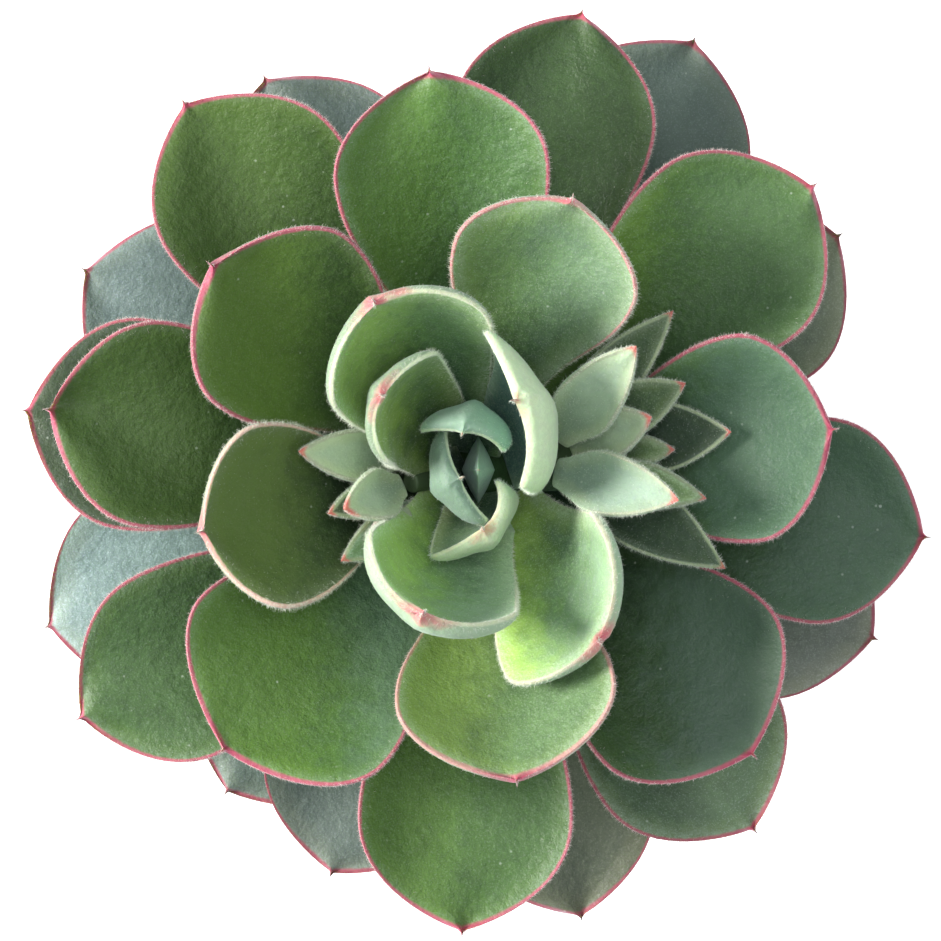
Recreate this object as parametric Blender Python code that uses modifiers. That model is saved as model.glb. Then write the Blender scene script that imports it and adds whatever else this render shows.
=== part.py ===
"""Potted succulent: a hairy leaf rosette with two side shoots, in a plain terracotta pot.

Metres, +Z up. The origin is the middle of the pot's foot, on the surface that the pot stands on.
The leaves follow one another around the stem by a constant turn, from the oldest at the bottom to
the youngest in the heart, and each leaf is a sphere drawn out along its own curved midrib.
"""
import math

import bmesh
import bpy
import numpy as np

MM = 0.001

# Pot
POT_HEIGHT = 80 * MM
POT_RIM_RADIUS = 45 * MM
POT_FOOT_RADIUS = 29 * MM
POT_WALL = 4.5 * MM
POT_FLOOR = 6 * MM
RIM_BAND_HEIGHT = 17 * MM
RIM_BAND_STEP = 2.2 * MM
RIM_BAND_TAPER = 1 * MM
DRAIN_RADIUS = 5.5 * MM
POT_EDGE_ROUND = 1.2 * MM
POT_STEPS = 40

# Soil and stem
GAP = 0.3 * MM
WATERING_GAP = 10 * MM
SOIL_CROWN = 2 * MM
STEM_RADIUS = 6.6 * MM
STEM_BURIED = 26 * MM
STEM_CLEAR = 16 * MM
STEM_STEPS = 20
STEM_RINGS = 12
STEM_FOOT_ROUND = 1 * MM
SHOOT_STEM_RADIUS = 1.7 * MM

# Rosette
LEAF_COUNT = 34
FIRST_TURN = 233.0
TURN_PER_LEAF = 137.0
RISE_PER_LEAF = 0.85 * MM
LEAF_THICKNESS = 3.2 * MM
HEART_THICKNESS = 2.3 * MM
LEAF_SIDES = 12
LEAF_RINGS = 12
SHOOT_LEAF_SIDES = 10
SHOOT_LEAF_RINGS = 8
BUD_LENGTH = 12 * MM
BUD_WIDTH = 8 * MM
BUD_THICKNESS = 4 * MM
BUD_POINT = 0.4

# How a leaf stands by its age: the oldest leaf's angle in degrees, how much more the youngest has,
# and the power of age between them.
BASE_TILT = (4, 58, 1.7)
MIDDLE_TILT = (2, 80, 2.4)
TIP_TILT = (-6, 126, 3.2)
CUP = (18, 44, 1.8)

# One row a leaf, oldest first: extra turn, length and width in mm, extra tilt at base, middle and
# tip, extra cup, roll about the midrib, and sideways sweep of the tip, in degrees.
# The leaf that once stood between the first two rows has been shed.
LEAVES = {
    1: (-1, 54.5, 30, (0, 0, 0), 0, 0, 0),
    3: (6, 59, 31, (0, 0, 0), 0, 0, 0),
    4: (-1, 61.5, 29, (0, 0, 0), 0, 0, 0),
    5: (1, 64.5, 32, (0, 0, 0), 0, 0, 3),
    6: (2, 61, 31, (0, 0, 0), 0, 0, 0),
    7: (2, 57, 30, (0, 0, 0), 0, 0, 0),
    8: (6.5, 59, 30, (0, 0, 0), 0, 0, 0),
    9: (1, 56.5, 30, (0, 0, 0), 0, 0, 0),
    10: (7, 56.5, 30, (0, 0, 0), 0, 0, 0),
    11: (9.5, 60, 31, (0, 0, 0), 0, 0, 0),
    12: (7.5, 59.5, 30, (0, 0, 0), 0, 0, 0),
    13: (2, 61.5, 29.5, (0, 0, 0), 0, 0, -4),
    14: (1.5, 61.5, 28.5, (0, 0, 0), 0, 0, -8),
    15: (0.5, 59, 30, (0, 0, 0), 0, 0, 0),
    16: (2.5, 61.5, 30, (0, 0, 0), 0, 0, -4),
    17: (3, 60.5, 31, (0, 0, 0), 0, 0, 0),
    18: (1, 57.5, 31, (0, 0, 0), 0, 0, -6),
    19: (-7, 57, 30, (0, 0, 0), 0, 0, 0),
    20: (-2, 52, 33, (0, 0, 0), 0, 0, 0),
    21: (4, 53.5, 31, (0, 0, 0), 0, 0, 0),
    22: (1, 51, 36, (0, 0, 0), 0, 0, -7),
    23: (0, 47, 30.5, (-5, -7, -6), 0, 0, -1),
    24: (0, 47, 31, (0, 0, 0), 0, 0, -3),
    25: (-4, 45, 32, (0, 0, 0), 0, 0, 0),
    26: (15, 40.5, 28, (-4, -4, -6), 0, 0, -4),
    27: (-1, 40.5, 28, (-6, -10, -10), 4, 0, -3),
    28: (-27, 33, 25, (-2, -8, -10), 0, 15, 0),
    29: (13, 34.5, 28, (-2, -4, -12), 16, 0, 0),
    30: (6, 33, 26, (0, 0, 0), 10, 0, 0),
    31: (2, 27, 24, (6, 14, 24), 4, 0, 24),
    32: (-17, 29, 24, (-6, -4, 0), 6, 0, -8),
    33: (0.5, 19, 17, (-8, 0, 8), -4, 0, -8),
    34: (5, 19, 16, (-14, 0, 14), 0, 0, 4),
    35: (0, 15, 16, (-4, 2, 4), 0, 0, 0),
}

# A side shoot: where its stem leaves the main stem (turn and height above the first leaf), its own
# heading and lift in degrees, and its length. Then one row a leaf: the leaf's foot from the stem's
# end (out, left, up) in mm, heading, length, width, tilts, cup, roll and sweep.
SHOOTS = {
    "right_shoot": {
        "turn": 8, "height": 22.6 * MM, "heading": 15, "lift": 32, "length": 10 * MM,
        "leaves": [
            ((-1.4, 2.8, 3.6), 56, 19.5, 11, (50, 46, 36), 50, 0, 0),
            ((-2.5, 2.8, -2.4), 47, 24.5, 8, (24, 21, 14), 45, 0, 0),
            ((1.2, 2.3, 1.0), 25, 17, 8, (34, 30, 22), 45, 0, 0),
            ((0.8, 0.5, 2.8), 21, 12, 7, (42, 40, 34), 45, 0, 0),
            ((2.4, 0.3, -1.6), 4, 20.5, 10.5, (30, 28, 24), 40, 0, 0),
            ((2.8, -1.2, 1.0), 1, 11.5, 4.5, (35, 33, 30), 40, 0, 0),
            ((-0.6, -2.7, 4.9), -14, 15.5, 10, (42, 38, 30), 40, 0, 0),
            ((0.6, -4.0, 2.9), -12, 17.5, 6.5, (34, 28, 20), 40, 0, 0),
            ((-1.8, -2.9, -2.1), -33, 27, 10, (34, 27, 12), 35, 0, 0),
        ],
    },
    "left_shoot": {
        "turn": 190, "height": 25 * MM, "heading": 190, "lift": 42, "length": 6 * MM,
        "leaves": [
            ((0.6, -3.4, 0.0), 176, 17.5, 7.5, (40, 38, 36), 45, 0, 0),
            ((0.8, 0.2, 4.2), 203, 12, 7.5, (48, 45, 40), 45, 0, 0),
            ((1.8, 0.4, 1.6), 201, 12.5, 5, (40, 37, 34), 45, 0, 0),
            ((0.6, 4.0, 2.9), 210, 7.5, 3.6, (38, 36, 30), 40, 0, 0),
            ((-2.4, 3.6, -2.2), 212, 18, 6.5, (39, 37, 34), 45, 0, 0),
        ],
    },
}

# Outlines of the big leaves and of the side shoots' pointed leaves: width of the foot, where the
# widest place lies, how slowly the stalk widens, and the two powers of the tip's curve.
BROAD = {"foot": 0.27, "widest": 0.72, "stalk": 2.8, "round": 2.1, "point": 0.82}
POINTED = {"foot": 0.42, "widest": 0.48, "stalk": 1.6, "round": 1.6, "point": 1.0}
YOUNG_BROADER = 0.08
MUCRO_LENGTH = 2.2 * MM
MUCRO_WIDTH = 1.1 * MM
SHOOT_LEAF_THICKNESS = 1.7 * MM
MIDRIB_STEPS = 80

# A leaf's section, as shares of its length or of its full thickness
FOOT_ROUND = 0.035
TIP_ROUND = 0.05
FOOT_FULLNESS = 0.72
TIP_THINNING = 0.72
THINNING_START = 0.8
UPPER_SWELL = 0.1
UNDERSIDE_POWER = 0.75
EDGE_THICKNESS = 0.25 * MM
THICKNESS_TO_WIDTH = 1.3

# Colours
GREEN = (0.09, 0.22, 0.06)
OLD_GREEN = (0.16, 0.24, 0.17)
PALE_GREEN = (0.30, 0.45, 0.24)
TERRACOTTA = (0.52, 0.21, 0.11)
SOIL_BROWN = (0.05, 0.035, 0.025)
STEM_BROWN = (0.20, 0.15, 0.09)
OLD_LEAVES = 10
YOUNG_LEAVES = 25

SOIL_TOP = POT_HEIGHT - WATERING_GAP
FIRST_LEAF = SOIL_TOP + STEM_CLEAR
UNDER_BAND = POT_RIM_RADIUS - RIM_BAND_STEP - RIM_BAND_TAPER
POT_SLOPE = (UNDER_BAND - POT_FOOT_RADIUS) / (POT_HEIGHT - RIM_BAND_HEIGHT)


def smooth_step(value):
    value = min(max(value, 0.0), 1.0)
    return value * value * (3 - 2 * value)


def quarter_round(value):
    """Height of a quarter circle, from 0 at its foot to 1."""
    return math.sqrt(1 - (1 - min(value, 1)) ** 2)


def by_age(age, law):
    start, gain, power = law
    return start + gain * age ** power


def inner_wall(height):
    """Radius of the pot's inner wall, which is straight from the floor to the rim."""
    return POT_FOOT_RADIUS + POT_SLOPE * height - POT_WALL


def clear_scene():
    for obj in list(bpy.data.objects):
        bpy.data.objects.remove(obj, do_unlink=True)


def make_material(name, colour, roughness):
    material = bpy.data.materials.new(name)
    material.use_nodes = True
    shader = material.node_tree.nodes["Principled BSDF"]
    shader.inputs["Base Color"].default_value = (*colour, 1)
    shader.inputs["Roughness"].default_value = roughness
    shader.inputs["Metallic"].default_value = 0
    return material


def add_object(name, mesh, material, collection):
    mesh.materials.append(material)
    obj = bpy.data.objects.new(name, mesh)
    collection.objects.link(obj)
    return obj


def add_turned(name, profile, closed, steps, material, collection):
    """Turn a profile of (radius, height) points about Z. It runs down its outer side."""
    bm = bmesh.new()
    verts = [bm.verts.new((radius, 0, height)) for radius, height in profile]
    for first, second in zip(verts, verts[1:]):
        bm.edges.new((first, second))
    if closed:
        bm.edges.new((verts[-1], verts[0]))
    mesh = bpy.data.meshes.new(name)
    bm.to_mesh(mesh)
    bm.free()
    obj = add_object(name, mesh, material, collection)
    screw = obj.modifiers.new("Turn", "SCREW")
    screw.steps = steps
    screw.render_steps = steps
    screw.use_merge_vertices = True
    screw.merge_threshold = 0.00001
    screw.use_smooth_shade = True
    return obj


def stem_top():
    return FIRST_LEAF + (LEAF_COUNT + 0.6) * RISE_PER_LEAF


def stem_radius(height):
    """Radius of the main stem, which closes to a growing point above the youngest leaf."""
    part = min(max((height - FIRST_LEAF) / (stem_top() - FIRST_LEAF), 0), 1)
    return STEM_RADIUS * (1 - part ** 6) ** 0.8


class Leaf:
    """A leaf along its own curved midrib, in metres and degrees, before it is placed."""

    def __init__(self, length, width, tilt, cup, roll, sweep, thickness, outline, mucro):
        self.length = length
        self.half = width / 2
        self.cup = math.radians(cup)
        self.roll = math.radians(roll)
        self.thickness = thickness
        self.outline = outline
        self.mucro = mucro
        base, middle, tip = tilt
        steps = np.linspace(0, 1, MIDRIB_STEPS + 1)
        lift = (1 - steps) ** 2 * base + 2 * steps * (1 - steps) * middle + steps ** 2 * tip
        self.steps = steps
        self.lift = np.radians(lift)
        self.side = np.radians(sweep * steps)
        along = np.stack([
            np.cos(self.lift) * np.cos(self.side),
            np.sin(self.side),
            np.sin(self.lift) * np.cos(self.side),
        ])
        middles = (along[:, 1:] + along[:, :-1]) / 2
        self.line = np.zeros_like(along)
        self.line[:, 1:] = np.cumsum(middles, axis=1) * length / MIDRIB_STEPS

    def half_width(self, part):
        outline = self.outline
        place = part * self.length
        widest = outline["widest"] * self.length
        end = self.length - 0.55 * self.mucro * MUCRO_LENGTH
        if place < widest:
            rise = math.sin(math.pi / 2 * place / widest) ** outline["stalk"]
            share = outline["foot"] + (1 - outline["foot"]) * rise
        else:
            run = min((place - widest) / (end - widest), 1)
            share = (1 - run ** outline["round"]) ** outline["point"]
        width = self.half * share
        spur = 1 - (self.length - place) / (2 * MUCRO_LENGTH)
        if self.mucro and spur > 0:
            width = max(width, MUCRO_WIDTH * 2 * (1 - spur) ** 1.7)
        return width

    def point(self, part, around):
        """A point of the skin: part runs foot to tip, around is the angle about the midrib."""
        lift = np.interp(part, self.steps, self.lift)
        side = np.interp(part, self.steps, self.side)
        centre = np.array([np.interp(part, self.steps, row) for row in self.line])
        across = np.array([
            -math.cos(lift) * math.sin(side), math.cos(side), -math.sin(lift) * math.sin(side)])
        up = np.array([-math.sin(lift), 0, math.cos(lift)])
        roll = self.roll * smooth_step(1.2 * part)
        across, up = (
            across * math.cos(roll) + up * math.sin(roll),
            up * math.cos(roll) - across * math.sin(roll),
        )
        foot_round = quarter_round(part / FOOT_ROUND)
        tip_round = quarter_round((1 - part) / TIP_ROUND)
        width = self.half_width(part) * foot_round
        full = FOOT_FULLNESS + (1 - FOOT_FULLNESS) * math.sin(math.pi * min(part / 0.9, 1))
        thin = 1 - TIP_THINNING * max((part - THINNING_START) / (1 - THINNING_START), 0) ** 3
        thick = self.thickness * full * thin * foot_round * tip_round
        thick = min(thick, EDGE_THICKNESS + THICKNESS_TO_WIDTH * width)
        bend = self.cup / self.half * (0.5 + 0.5 * smooth_step(part / 0.6))
        angle = math.cos(around) * width * bend
        sideways = math.sin(angle) / bend
        height = (1 - math.cos(angle)) / bend
        skin = math.sin(around)
        if skin > 0:
            offset = UPPER_SWELL * thick * skin
        else:
            offset = -thick * abs(skin) ** UNDERSIDE_POWER
        sideways -= offset * math.sin(angle)
        height += offset * math.cos(angle)
        return centre + across * sideways + up * height


def leaf_mesh(name, leaf, foot, heading, sides, rings):
    """Draw a sphere out into the leaf, with one pole at the foot and the other at the tip."""
    bm = bmesh.new()
    bmesh.ops.create_uvsphere(bm, u_segments=sides, v_segments=rings, radius=1)
    turn = math.radians(heading)
    cos_turn = math.cos(turn)
    sin_turn = math.sin(turn)
    for vert in bm.verts:
        part = (1 - vert.co.z) / 2
        x, y, z = leaf.point(part, math.atan2(vert.co.y, vert.co.x))
        vert.co = (
            foot[0] + x * cos_turn - y * sin_turn,
            foot[1] + x * sin_turn + y * cos_turn,
            foot[2] + z,
        )
    bmesh.ops.recalc_face_normals(bm, faces=bm.faces)
    mesh = bpy.data.meshes.new(name)
    bm.to_mesh(mesh)
    bm.free()
    mesh.shade_smooth()
    return mesh


def add_rosette(collection):
    green = make_material("leaf_green", GREEN, 0.55)
    old = make_material("old_leaf", OLD_GREEN, 0.6)
    pale = make_material("young_leaf", PALE_GREEN, 0.6)
    for number, (extra, length, width, lean, more_cup, roll, sweep) in LEAVES.items():
        age = (number - 1) / LEAF_COUNT
        laws = (BASE_TILT, MIDDLE_TILT, TIP_TILT)
        tilt = [by_age(age, law) + more for law, more in zip(laws, lean)]
        cup = by_age(age, CUP) + more_cup
        heading = FIRST_TURN + TURN_PER_LEAF * (number - 1) + extra
        height = FIRST_LEAF + RISE_PER_LEAF * (number - 1)
        reach = stem_radius(height) + GAP
        turn = math.radians(heading)
        foot = (reach * math.cos(turn), reach * math.sin(turn), height)
        inner = smooth_step(6 * age - 5)
        thickness = LEAF_THICKNESS + (HEART_THICKNESS - LEAF_THICKNESS) * inner
        outline = dict(BROAD, widest=BROAD["widest"] + YOUNG_BROADER * age ** 3)
        leaf = Leaf(length * MM, width * MM, tilt, cup, roll, sweep, thickness, outline, 1)
        name = f"leaf_{number:02d}"
        mesh = leaf_mesh(name, leaf, foot, heading, LEAF_SIDES, LEAF_RINGS)
        material = green
        if number <= OLD_LEAVES:
            material = old
        elif number > YOUNG_LEAVES:
            material = pale
        add_object(name, mesh, material, collection)


def add_shoot(name, shoot, collection, leaf_material, stem_material):
    turn = math.radians(shoot["turn"])
    heading = math.radians(shoot["heading"])
    lift = math.radians(shoot["lift"])
    start_height = FIRST_LEAF + shoot["height"]
    upper_edge = start_height + SHOOT_STEM_RADIUS * math.cos(lift)
    reach = stem_radius(upper_edge) + GAP + SHOOT_STEM_RADIUS * math.sin(lift)
    out = np.array([math.cos(heading), math.sin(heading), 0])
    left = np.array([-math.sin(heading), math.cos(heading), 0])
    up = np.array([0, 0, 1])
    start = np.array([reach * math.cos(turn), reach * math.sin(turn), start_height])
    end = start + (out * math.cos(lift) + up * math.sin(lift)) * shoot["length"]
    curve = bpy.data.curves.new(name + "_stem", "CURVE")
    curve.dimensions = "3D"
    curve.bevel_depth = SHOOT_STEM_RADIUS
    curve.bevel_resolution = 2
    curve.use_fill_caps = True
    spline = curve.splines.new("POLY")
    spline.points.add(1)
    for point, place in zip(spline.points, (start, end)):
        point.co = (*place, 1)
    add_object(name + "_stem", curve, stem_material, collection)
    for index, (foot, turned, length, width, tilt, cup, roll, sweep) in enumerate(shoot["leaves"]):
        place = end + (out * foot[0] + left * foot[1] + up * foot[2]) * MM
        leaf = Leaf(
            length * MM, width * MM, tilt, cup, roll, sweep, SHOOT_LEAF_THICKNESS, POINTED, 0)
        leaf_name = f"{name}_leaf_{index + 1}"
        mesh = leaf_mesh(leaf_name, leaf, place, turned, SHOOT_LEAF_SIDES, SHOOT_LEAF_RINGS)
        add_object(leaf_name, mesh, leaf_material, collection)


def add_bud(collection, material):
    """The closed bud in the heart: a sphere drawn to a point."""
    bm = bmesh.new()
    bmesh.ops.create_uvsphere(bm, u_segments=10, v_segments=8, radius=1)
    foot = stem_top() + GAP
    for vert in bm.verts:
        part = (1 + vert.co.z) / 2
        narrow = (1 - part) ** BUD_POINT
        vert.co = (
            vert.co.x * BUD_THICKNESS / 2 * narrow,
            vert.co.y * BUD_WIDTH / 2 * narrow,
            foot + part * BUD_LENGTH,
        )
    mesh = bpy.data.meshes.new("heart_bud")
    bm.to_mesh(mesh)
    bm.free()
    mesh.shade_smooth()
    add_object("heart_bud", mesh, material, collection)


def add_pot(collection):
    """Terracotta pot: a tapered wall under a thicker rim band, with a drain hole in its floor."""
    edge = POT_EDGE_ROUND
    corner = edge * (1 - math.sqrt(0.5))
    mouth = inner_wall(POT_HEIGHT)
    band_foot = POT_HEIGHT - RIM_BAND_HEIGHT
    band_foot_radius = POT_RIM_RADIUS - RIM_BAND_TAPER
    profile = [
        (POT_RIM_RADIUS - edge, POT_HEIGHT),
        (POT_RIM_RADIUS - corner, POT_HEIGHT - corner),
        (POT_RIM_RADIUS, POT_HEIGHT - edge),
        (band_foot_radius, band_foot + edge),
        (band_foot_radius - edge / 2, band_foot),
        (UNDER_BAND, band_foot),
        (POT_FOOT_RADIUS + POT_SLOPE * edge, edge),
        (POT_FOOT_RADIUS - edge, 0),
        (DRAIN_RADIUS, 0),
        (DRAIN_RADIUS, POT_FLOOR),
        (inner_wall(POT_FLOOR), POT_FLOOR),
        (mouth, POT_HEIGHT - edge),
        (mouth + edge / 2, POT_HEIGHT),
    ]
    material = make_material("terracotta", TERRACOTTA, 0.85)
    add_turned("pot", profile, True, POT_STEPS, material, collection)


def add_soil(collection):
    """Soil up to the watering gap, with a socket for the buried end of the stem."""
    socket = STEM_RADIUS + GAP
    socket_floor = SOIL_TOP - STEM_BURIED
    floor = POT_FLOOR + GAP
    profile = [
        (0, socket_floor),
        (socket, socket_floor),
        (socket, SOIL_TOP + SOIL_CROWN),
        (0.6 * inner_wall(SOIL_TOP), SOIL_TOP + 0.6 * SOIL_CROWN),
        (inner_wall(SOIL_TOP) - GAP, SOIL_TOP),
        (inner_wall(floor) - GAP, floor),
        (0, floor),
    ]
    material = make_material("soil", SOIL_BROWN, 1.0)
    add_turned("soil", profile, False, POT_STEPS, material, collection)


def add_stem(collection, material):
    """The main stem, from its buried end to the growing point."""
    bottom = SOIL_TOP - STEM_BURIED + GAP
    heights = np.linspace(stem_top(), FIRST_LEAF, STEM_RINGS)
    profile = [(stem_radius(height), height) for height in heights]
    profile.append((STEM_RADIUS, bottom + STEM_FOOT_ROUND))
    profile.append((STEM_RADIUS - STEM_FOOT_ROUND, bottom))
    profile.append((0, bottom))
    add_turned("main_stem", profile, False, STEM_STEPS, material, collection)


def main():
    clear_scene()
    collection = bpy.data.collections.new("potted_succulent")
    bpy.context.scene.collection.children.link(collection)
    bark = make_material("stem_bark", STEM_BROWN, 0.8)
    shoot_green = make_material("shoot_leaf", PALE_GREEN, 0.65)
    bud_green = make_material("bud_leaf", PALE_GREEN, 0.6)
    add_pot(collection)
    add_soil(collection)
    add_stem(collection, bark)
    add_rosette(collection)
    for name, shoot in SHOOTS.items():
        add_shoot(name, shoot, collection, shoot_green, bark)
    add_bud(collection, bud_green)


main()
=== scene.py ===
import math
import random

import bmesh
import bpy
import numpy as np
from mathutils import Matrix, Vector


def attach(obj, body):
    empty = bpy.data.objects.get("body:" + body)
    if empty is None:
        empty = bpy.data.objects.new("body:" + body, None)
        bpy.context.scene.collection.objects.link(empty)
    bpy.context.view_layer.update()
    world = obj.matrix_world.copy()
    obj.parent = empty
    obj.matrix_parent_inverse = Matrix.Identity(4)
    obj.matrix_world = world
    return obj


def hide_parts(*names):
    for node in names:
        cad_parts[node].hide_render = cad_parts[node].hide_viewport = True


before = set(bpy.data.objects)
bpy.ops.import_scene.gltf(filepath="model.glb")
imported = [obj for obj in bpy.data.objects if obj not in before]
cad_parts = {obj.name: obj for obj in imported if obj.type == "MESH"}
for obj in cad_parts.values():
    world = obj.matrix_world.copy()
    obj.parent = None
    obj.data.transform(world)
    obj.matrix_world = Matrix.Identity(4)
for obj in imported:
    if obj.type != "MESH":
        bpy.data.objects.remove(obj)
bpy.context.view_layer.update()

# Looks of a hairy echeveria in a terracotta pot. Lengths in mm unless a name says otherwise.
mm = 0.001
gap = 0.3 * mm


# One output socket; + - * / ** on it add Math nodes.
class Wire:
    def __init__(self, graph, socket):
        self.graph = graph
        self.socket = socket

    def math(self, operation, *values):
        inputs = {i: v for i, v in enumerate(values)}
        return self.graph.add("ShaderNodeMath", {"operation": operation}, inputs)

    def __add__(self, other): return self.math("ADD", self, other)
    def __radd__(self, other): return self.math("ADD", other, self)
    def __sub__(self, other): return self.math("SUBTRACT", self, other)
    def __rsub__(self, other): return self.math("SUBTRACT", other, self)
    def __mul__(self, other): return self.math("MULTIPLY", self, other)
    def __rmul__(self, other): return self.math("MULTIPLY", other, self)
    def __truediv__(self, other): return self.math("DIVIDE", self, other)
    def __rtruediv__(self, other): return self.math("DIVIDE", other, self)
    def __pow__(self, other): return self.math("POWER", self, other)


class Graph:
    def __init__(self, name):
        self.material = bpy.data.materials.new(name)
        self.material.use_nodes = True
        self.tree = self.material.node_tree
        self.shader = self.tree.nodes["Principled BSDF"]

    def add(self, kind, settings=None, inputs=None, out=0):
        node = self.tree.nodes.new(kind)
        for key, value in (settings or {}).items():
            if key == "stops":
                ramp = node.color_ramp
                while len(ramp.elements) < len(value):
                    ramp.elements.new(0.5)
                for element, (place, colour) in zip(ramp.elements, value):
                    element.position = place
                    element.color = (*colour, 1)
            else:
                setattr(node, key, value)
        for key, value in (inputs or {}).items():
            self.set(node.inputs[key], value)
        return Wire(self, node.outputs[out])

    def set(self, socket, value):
        if isinstance(value, Wire):
            self.tree.links.new(value.socket, socket)
        elif isinstance(value, tuple) and socket.type == "RGBA":
            socket.default_value = (*value, 1)
        else:
            socket.default_value = value

    def attribute(self, name):
        return self.add("ShaderNodeAttribute", {"attribute_name": name}, out=2)

    def place(self):
        return self.add("ShaderNodeTexCoord", out=3)

    def noise(self, perMetre, detail=2.0, rough=0.5, place=None, out=0):
        inputs = {"Vector": place or self.place(), "Scale": perMetre, "Detail": detail, "Roughness": rough}
        return self.add("ShaderNodeTexNoise", {}, inputs, out)

    def cells(self, perMetre, out=0, spread=1.0):
        inputs = {"Vector": self.place(), "Scale": perMetre, "Randomness": spread}
        return self.add("ShaderNodeTexVoronoi", {}, inputs, out)

    def ease(self, value, low, high):
        inputs = {"Value": value, "From Min": low, "From Max": high}
        return self.add("ShaderNodeMapRange", {"interpolation_type": "SMOOTHSTEP"}, inputs)

    def mix(self, factor, first, second):
        return self.add("ShaderNodeMix", {"data_type": "RGBA"}, {0: factor, 6: first, 7: second}, 2)

    def bump(self, height, distance, strength=1.0, before=None):
        inputs = {"Height": height, "Distance": distance, "Strength": strength}
        if before:
            inputs["Normal"] = before
        return self.add("ShaderNodeBump", {}, inputs)

    def finish(self, **sockets):
        for name, value in sockets.items():
            self.set(self.shader.inputs[name.replace("_", " ")], value)
        return self.material


# The leaf's own shape follows the same law as its solid.
def ease(value):
    value = np.clip(value, 0, 1)
    return value * value * (3 - 2 * value)


def quarterRound(value):
    return np.sqrt(1 - (1 - np.clip(value, 0, 1)) ** 2)


leafSection = {
    "footRound": 0.035, "tipRound": 0.05, "footFullness": 0.72, "tipThinning": 0.72, "thinningStart": 0.8,
    "upperSwell": 0.1, "undersidePower": 0.75, "edgeThickness": 0.25, "thicknessToWidth": 1.3,
    "mucroLength": 2.2, "mucroWidth": 1.1, "midribSteps": 80, "wave": 0.45,
}


class LeafForm:
    def __init__(self, length, width, tilt, cup, roll, sweep, thickness, outline, mucro, seed, keel=0.0,
                 draw=0.0, lop=0.0):
        self.length = length
        self.half = width / 2
        self.cup = math.radians(cup)
        self.roll = math.radians(roll)
        self.thickness = thickness
        self.outline = outline
        self.mucro = mucro
        self.keel = keel
        self.draw = draw
        self.lop = lop
        self.phase = random.Random(seed).uniform(0, 6.28)
        self.wave = leafSection["wave"] * min(1, length / 50) ** 2
        steps = np.linspace(0, 1, leafSection["midribSteps"] + 1)
        base, middle, tip = tilt
        self.steps = steps
        self.lift = np.radians((1 - steps) ** 2 * base + 2 * steps * (1 - steps) * middle + steps ** 2 * tip)
        self.side = np.radians(sweep * steps)
        along = np.stack([np.cos(self.lift) * np.cos(self.side), np.sin(self.side),
                          np.sin(self.lift) * np.cos(self.side)])
        self.line = np.zeros_like(along)
        middles = (along[:, 1:] + along[:, :-1]) / 2
        self.line[:, 1:] = np.cumsum(middles, axis=1) * length / leafSection["midribSteps"]

    def halfWidth(self, part):
        shape = self.outline
        place = part * self.length
        widest = shape["widest"] * self.length
        end = self.length - 0.55 * self.mucro * leafSection["mucroLength"]
        rise = np.sin(math.pi / 2 * np.clip(place / widest, 0, 1)) ** shape["stalk"]
        stalk = shape["foot"] + (1 - shape["foot"]) * rise
        run = np.clip((place - widest) / (end - widest), 0, 1)
        blade = (1 - run ** shape["round"]) ** shape["point"]
        width = self.half * np.where(place < widest, stalk, blade)
        if self.mucro:
            spur = np.clip(1 - (self.length - place) / (2 * leafSection["mucroLength"]), 0, 1)
            spike = leafSection["mucroWidth"] * 2 * (1 - spur) ** 1.7
            width = np.where(spur > 0, np.maximum(width, spike), width)
        return width

    # Points of the skin in mm, before the leaf is placed.
    def skin(self, part, around):
        s = leafSection
        lift = np.interp(part, self.steps, self.lift)
        side = np.interp(part, self.steps, self.side)
        centre = np.stack([np.interp(part, self.steps, row) for row in self.line], -1)
        across = np.stack([-np.cos(lift) * np.sin(side), np.cos(side), -np.sin(lift) * np.sin(side)], -1)
        up = np.stack([-np.sin(lift), 0 * lift, np.cos(lift)], -1)
        roll = (self.roll * ease(1.2 * part))[:, None]
        across, up = (across * np.cos(roll) + up * np.sin(roll), up * np.cos(roll) - across * np.sin(roll))
        footRound = quarterRound(part / s["footRound"])
        tipRound = quarterRound((1 - part) / s["tipRound"])
        ripple = 1 + 0.006 * np.sin(9 * part + self.phase + np.sign(np.cos(around)))
        width = self.halfWidth(part) * footRound * ripple
        full = s["footFullness"] + (1 - s["footFullness"]) * np.sin(math.pi * np.minimum(part / 0.9, 1))
        last = np.maximum((part - s["thinningStart"]) / (1 - s["thinningStart"]), 0)
        thin = 1 - s["tipThinning"] * last ** 3
        thick = self.thickness * full * thin * footRound * tipRound
        thick = np.minimum(thick, s["edgeThickness"] + s["thicknessToWidth"] * width)
        over = np.cos(around)
        bend = self.cup / self.half * (0.5 + 0.5 * ease(part / 0.6)) * (1 + self.lop * np.sign(over))
        angle = over * width * bend
        sideways = np.sin(angle) / bend
        height = (1 - np.cos(angle)) / bend
        skin = np.sin(around)
        crest = np.exp(-(over / 0.2) ** 2) * ease(part * 2.5) * ease(9 - 9 * part)
        ridge = 1 + self.keel * (crest - 0.3)
        under = -thick * np.abs(skin) ** s["undersidePower"] * ridge
        offset = np.where(skin > 0, s["upperSwell"] * thick * skin, under)
        sideways = sideways - offset * np.sin(angle)
        height = height + offset * np.cos(angle)
        sideways = sideways + self.draw * part ** 2
        ripples = np.sin(7 * part + self.phase) * np.sin(4 * over + 2 * self.phase)
        ripples = ripples + 0.5 * np.sin(13 * part + 5 * over + 3 * self.phase)
        height = height + self.wave * ease(1.6 * part - 0.4) * ripples
        return centre + across * sideways[:, None] + up * height[:, None]

    # Distance in mm from the leaf's margin, measured over its face.
    def edgeDistance(self, part, around):
        rim = np.linspace(0, 1, 260)
        rimWidth = self.halfWidth(rim)
        place = part * self.length
        over = np.abs(np.cos(around)) * self.halfWidth(part)
        along = place[:, None] - rim[None] * self.length
        beside = over[:, None] - rimWidth[None]
        return np.sqrt((along ** 2 + beside ** 2).min(1))


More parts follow.
